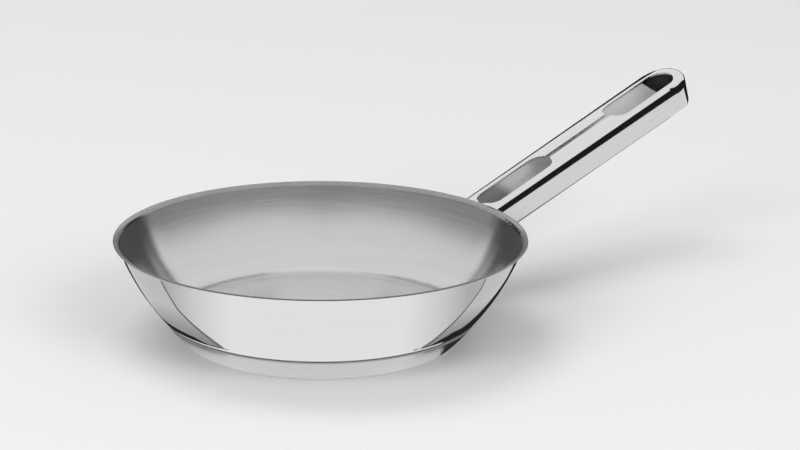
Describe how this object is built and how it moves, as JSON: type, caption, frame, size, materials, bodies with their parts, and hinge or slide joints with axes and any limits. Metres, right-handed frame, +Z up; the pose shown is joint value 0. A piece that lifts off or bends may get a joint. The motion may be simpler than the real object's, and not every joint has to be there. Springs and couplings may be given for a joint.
{
  "type": "omelette pan",
  "caption": "Shallow round steel pan with flared lip, thick heat-spreading base and a hollow folded-sheet handle that rises from below the rim and is open along its top.",
  "frame": {"origin": "centre of the flat underside, on the surface that the pan stands on", "axes": "+Z up out of the bowl, +X along the handle, Y across it"},
  "size_m": [0.4373, 0.2398, 0.1121],
  "materials": {
    "bowl_steel": "stainless steel, satin inside and on the lip, mirror polished outside",
    "cap_steel": "stainless steel cup, mirror polished on its side, fine-turned underneath",
    "core_aluminium": "plain rolled aluminium disc, hidden",
    "handle_steel": "stainless steel, mirror polished outside, plain matt inside",
    "bracket_steel": "plain pressed steel, hidden in the handle"
  },
  "bodies": {
    "root": {"bowl": "bowl_steel", "base_cap": "cap_steel", "base_core": "core_aluminium", "handle_shell": "handle_steel", "handle_bracket": "bracket_steel", "bowl_weld_nuggets": "bracket_steel", "handle_weld_nuggets": "bracket_steel"}
  },
  "joints": []
}
